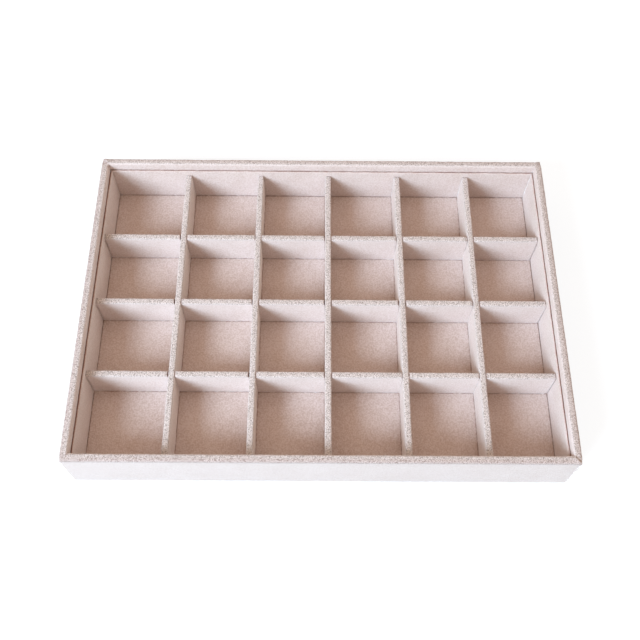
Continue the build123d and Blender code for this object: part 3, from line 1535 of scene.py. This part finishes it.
@dataclass
class DividerGrid:
    """The dividers of both directions.

    Attributes:
        long_count: number of dividers that run from left to right.
        cross_count: number that run from front to back.
        clearance: room on each side of a divider in its slot.
        slack: extra width of the slots that open above, on their left.
        openness: how far their mouths stand open, from the front divider to the back one.
    """

    long_count: int = 3
    cross_count: int = 5
    clearance: float = 0.3 * MM
    slack: float = 0.6 * MM
    openness: tuple[float, ...] = (0.3, 0.5, 0.1)

    @property
    def long_lines(self) -> list[float]:
        """Places along Y of the dividers that run from left to right."""
        return [middle_of(f"long_divider_{n + 1}_board", Axis.Y) for n in range(self.long_count)]

    @property
    def cross_lines(self) -> list[float]:
        """Places along X of the dividers that run from front to back."""
        return [middle_of(f"cross_divider_{n + 1}_board", Axis.X) for n in range(self.cross_count)]

    @property
    def half(self) -> float:
        """Half a divider's thickness."""
        low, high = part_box("cross_divider_1_velvet")
        return (high.x - low.x) / 2

    @property
    def lap_level(self) -> float:
        """The height where the slots of both directions meet."""
        return middle_of("long_divider_1_velvet", Axis.Z)

    def long_cover(self, name: str, number: int) -> DividerCover:
        """The cover of one divider that runs from left to right.

        Args:
            name: the divider's name.
            number: its number, from the front.

        Returns:
            The cover.
        """
        low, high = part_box(f"{name}_velvet")
        return DividerCover(
            f"{name}_cover", Axis.X, low, high, self.cross_lines, self.half, Lap.ABOVE,
            self.lap_level, slot_half=self.half + self.clearance + self.slack / 2,
            slot_shift=-self.slack / 2, openness=self.openness[number - 1])

    def cross_cover(self, name: str) -> DividerCover:
        """The cover of one divider that runs from front to back.

        Args:
            name: the divider's name.

        Returns:
            The cover.
        """
        low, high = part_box(f"{name}_velvet")
        return DividerCover(
            f"{name}_cover", Axis.Y, low, high, self.long_lines, self.half, Lap.BELOW,
            self.lap_level + self.clearance, slot_half=self.half + self.clearance)

    def build(self, finish: bpy.types.Material) -> None:
        """Makes every cover: the long ones together on the grid's body, each cross one on its own
        body.

        Args:
            finish: the velvet.
        """
        for number in range(1, self.long_count + 1):
            name = f"long_divider_{number}"
            place_cloth(self.long_cover(name, number).build(finish), "divider_grid",
                        f"{name}_velvet")
        for number in range(1, self.cross_count + 1):
            name = f"cross_divider_{number}"
            place_cloth(self.cross_cover(name).build(finish), name, f"{name}_velvet")


def place_cloth(piece: bpy.types.Object, body: str, node: str,
                all_round: bool = False) -> None:
    """Gives a cloth its body, the node that it stands for and its flat size.

    Args:
        piece: the cloth.
        body: the body that it rides on.
        node: the CAD node that it stands for.
        all_round: True for a strip that goes once round the tray.
    """
    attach(piece, body)
    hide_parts(node)
    width, length = flat_size(piece, all_round)
    log.info("%s rides on %s and stands for %s: cut %.0f by %.0f mm",
             piece.name, body, node, width / MM, length / MM)


def flat_size(piece: bpy.types.Object, all_round: bool) -> tuple[float, float]:
    """The flat size that a cloth was cut to: its length, and the width that gives its area.

    Args:
        piece: the cloth, before its thickness.
        all_round: True for a strip that goes once round the tray.

    Returns:
        Width and length in metres.
    """
    area = sum(face.area for face in piece.data.polygons)
    places = [vert.co for vert in piece.data.vertices]
    spreads = [max(p[a] for p in places) - min(p[a] for p in places) for a in (0, 1)]
    length = 2 * sum(spreads) if all_round else max(spreads)
    return area / length, length


@dataclass
class HiddenBoards:
    """The CAD nodes that stay: wall boards, base, cards and divider boards.

    Attributes:
        board_words: what the names of fibreboard nodes end in.
        card_word: what the names of card nodes hold.
    """

    board_words: tuple[str, ...] = ("_wall", "_board")
    card_word: str = "card"

    def dress(self, board: bpy.types.Material, card: bpy.types.Material) -> None:
        """Gives every such node its finish.

        Args:
            board: the fibreboard.
            card: the greyboard.
        """
        for name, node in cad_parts.items():
            finish = None
            if name.endswith(self.board_words):
                finish = board
            elif self.card_word in name:
                finish = card
            if finish is not None:
                node.data.materials.clear()
                node.data.materials.append(finish)
                log.info("%s keeps its CAD mesh, finished as %s", name, finish.name)


@dataclass
class Camera:
    """The camera, from a measured view of the tray.

    Attributes:
        focal_pixels: focal length in the photograph's pixels.
        elevation: how far down it looks, in degrees.
        yaw: how far the tray is turned under it, in degrees.
        roll: how far it is tilted sideways, in degrees.
        offset: the tray's middle from the camera: right, up and away.
        sensor: width of the sensor in millimetres, as Blender counts it.
    """

    focal_pixels: float = 853.71
    elevation: float = 62.91
    yaw: float = 0.737
    roll: float = 1.034
    offset: tuple[float, float, float] = (0.85 * MM, -3.95 * MM, 664.54 * MM)
    sensor: float = 36.0

    def build(self) -> None:
        """Makes the camera and gives it to the scene."""
        down, turn, tilt = (math.radians(a) for a in (self.elevation, self.yaw, self.roll))
        right = Vector((1.0, 0.0, 0.0))
        away = Vector((0.0, math.cos(down), -math.sin(down)))
        up = Vector((0.0, math.sin(down), math.cos(down)))
        place = -(right * self.offset[0] + up * self.offset[1] + away * self.offset[2])
        tilted_right = right * math.cos(tilt) + up * math.sin(tilt)
        tilted_up = up * math.cos(tilt) - right * math.sin(tilt)
        axes = Matrix((tilted_right, tilted_up, -away)).transposed()
        unturn = Matrix.Rotation(-turn, 3, "Z")
        data = bpy.data.cameras.new("photo_camera")
        data.sensor_width = self.sensor
        data.sensor_fit = "HORIZONTAL"
        data.lens = self.focal_pixels / PHOTO_PIXELS * self.sensor
        data.dof.use_dof = False
        camera = add_object("photo_camera", data)
        camera.matrix_world = Matrix.Translation(unturn @ place) @ (unturn @ axes).to_4x4()
        bpy.context.scene.camera = camera


@dataclass
class Studio:
    """The plain white floor and the soft light.

    Attributes:
        floor_size: size of the floor.
        key_direction: the way that the main light travels.
        key_distance: how far off the main lamp stands.
        key_width: width of its round face.
        key_strength: strength of its light at the tray.
        key_colour: its colour.
        zenith: colour and strength of the light from straight above.
        horizon: the same for the light from all sides.
        floor_white: how much light the floor gives back.
        floor_glow: what the floor shows the camera in full shadow.
    """

    floor_size: float = 6.0
    key_direction: tuple[float, float, float] = (1.08, 1.10, -1.0)
    key_distance: float = 2.0
    key_width: float = 0.98
    key_strength: float = 4.1
    key_colour: tuple[float, float, float] = (0.785, 0.995, 1.175)
    zenith: Colour = (0.775, 0.525, 0.34, 1.0)
    horizon: Colour = (0.81, 0.785, 0.725, 1.0)
    floor_white: float = 0.31
    floor_glow: Colour = (0.76, 0.79, 0.82, 1.0)

    def build(self) -> None:
        """Makes the floor, the lamp, the world and the view."""
        self.floor()
        self.lamp()
        self.world()
        bpy.context.scene.view_settings.view_transform = "Standard"

    def floor(self) -> None:
        """A wide white floor that keeps the tray's shadow."""
        mesh = bmesh.new()
        bmesh.ops.create_grid(mesh, x_segments=1, y_segments=1, size=self.floor_size / 2)
        data = bpy.data.meshes.new("studio_floor")
        mesh.to_mesh(data)
        mesh.free()
        material, wiring = new_material("studio_white")
        matt = wiring.add("ShaderNodeBsdfDiffuse", Color=(*[self.floor_white] * 3, 1.0))
        glow = wiring.add("ShaderNodeEmission", Color=self.floor_glow, Strength=self.seen(wiring))
        both = wiring.add("ShaderNodeAddShader", in_0=matt.outputs[0], in_1=glow.outputs[0])
        wiring.add("ShaderNodeOutputMaterial", Surface=both.outputs[0])
        data.materials.append(material)
        add_object("studio_floor", data)

    @staticmethod
    def seen(wiring: Wiring) -> bpy.types.NodeSocket:
        """Adds what tells the camera's view, straight or in gloss or through glass, from light.

        Args:
            wiring: the tree that gets the nodes.

        Returns:
            Their output, 1 for what the camera sees.
        """
        path = wiring.add("ShaderNodeLightPath")
        direct = wiring.math("MAXIMUM", path.outputs["Is Camera Ray"],
                             path.outputs["Is Glossy Ray"])
        return wiring.math("MAXIMUM", direct, path.outputs["Is Transmission Ray"])

    def lamp(self) -> None:
        """The main light, from the front left."""
        data = bpy.data.lights.new("key_lamp", "AREA")
        data.shape = "DISK"
        data.size = self.key_width
        data.energy = self.key_strength * math.pi * self.key_distance ** 2
        data.color = self.key_colour
        way = Vector(self.key_direction).normalized()
        turned = way.to_track_quat("-Z", "Y").to_matrix().to_4x4()
        lamp = add_object("key_lamp", data)
        lamp.matrix_world = Matrix.Translation(-way * self.key_distance) @ turned

    def world(self) -> None:
        """A white surround to the camera, and to everything else a sky that changes with height."""
        world = bpy.data.worlds.new("studio_world")
        world.use_nodes = True
        wiring = Wiring(world.node_tree)
        white = wiring.add("ShaderNodeBackground", Color=(1.0, 1.0, 1.0, 1.0), Strength=1.0)
        way = wiring.add("ShaderNodeTexCoord").outputs["Generated"]
        upward = wiring.add("ShaderNodeSeparateXYZ", Vector=way).outputs["Z"]
        sky = wiring.mixed(wiring.math("MULTIPLY", upward, upward), self.horizon, self.zenith)
        fill = wiring.add("ShaderNodeBackground", Color=sky, Strength=1.0)
        mix = wiring.add("ShaderNodeMixShader", in_0=self.seen(wiring), in_1=fill.outputs[0],
                         in_2=white.outputs[0])
        wiring.add("ShaderNodeOutputWorld", Surface=mix.outputs[0])
        bpy.context.scene.world = world


def main() -> None:
    """Builds every sub-assembly in order, then the studio and the camera."""
    logging.basicConfig(level=logging.INFO, format="%(message)s")
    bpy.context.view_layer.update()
    effects = SharedEffects()
    velvet = VELVET.build(effects)
    felt = FELT.build(effects)
    HiddenBoards().dress(FIBREBOARD.build(effects), GREYBOARD.build(effects))

    wrap_low, wrap_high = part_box("outer_wrap")
    liner_low, liner_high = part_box("liner_velvet_front")
    wrap = OuterWrap(wrap_low, wrap_high, rim=liner_low.y - wrap_low.y, seam=liner_high.z)
    place_cloth(wrap.build(velvet), "tray", "outer_wrap",
                all_round=True)

    floor_low, floor_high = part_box("floor_velvet")
    for side in Side:
        low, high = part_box(f"liner_velvet_{side.word}")
        strip = LinerStrip(side, low, high, floor=floor_high.z)
        if side is Side.LEFT:
            strip.seam_gap *= LEFT_SEAM
        place_cloth(strip.build(velvet), "tray", f"liner_velvet_{side.word}")

    grid = DividerGrid()
    pad = FloorPad(floor_low, floor_high, grid.cross_lines, grid.long_lines, grid.half)
    place_cloth(pad.build(SHADED_FLOOR_VELVET.build(effects)), "tray", "floor_velvet")
    grid.build(velvet)

    underside = UndersideCloth(*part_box("underside_cloth"))
    place_cloth(underside.build(felt), "tray", "underside_cloth")

    Studio().build()
    Camera().build()


if __name__ == "__main__":
    main()
